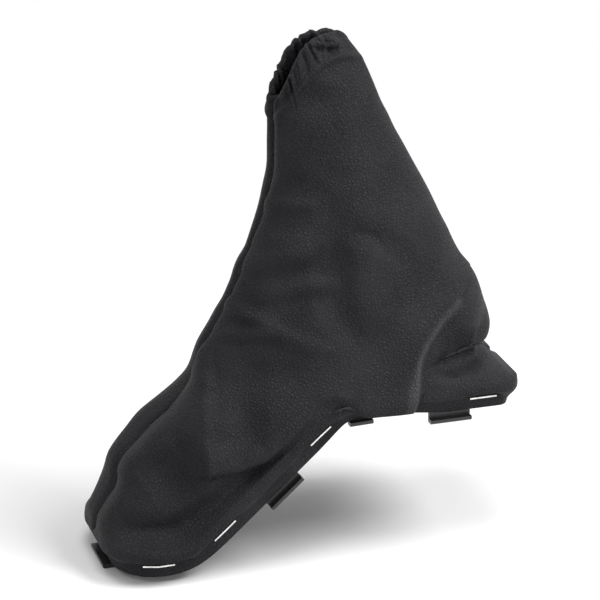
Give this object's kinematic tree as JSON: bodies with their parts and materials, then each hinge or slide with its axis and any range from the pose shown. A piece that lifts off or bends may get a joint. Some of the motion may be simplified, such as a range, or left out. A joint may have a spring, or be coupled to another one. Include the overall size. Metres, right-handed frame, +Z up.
{
  "type": "handbrake gaiter",
  "caption": "Tall soft leather gaiter, gathered at the top to grip a handbrake lever, stapled round a stepped plastic frame that clips into a console.",
  "frame": {"origin": "under the middle of the clip frame, at the height of the front clip's tip", "axes": "+Z up, -X towards the front of the car, -Y towards the near, left side"},
  "size_m": [0.1936, 0.083, 0.2435],
  "materials": {
    "leather": "grained, charcoal black",
    "plastic": "smooth moulded black",
    "steel": "bright wire",
    "elastic": "woven black"
  },
  "bodies": {
    "root": {"clip_frame": "plastic", "left_panel": "leather", "right_panel": "leather", "elastic_band": "elastic", "staple_front": "steel", "staple_rear": "steel", "staple_left_1": "steel", "staple_left_2": "steel", "staple_left_3": "steel", "staple_left_4": "steel", "staple_left_5": "steel", "staple_right_1": "steel", "staple_right_2": "steel", "staple_right_3": "steel", "staple_right_4": "steel", "staple_right_5": "steel"}
  },
  "joints": []
}
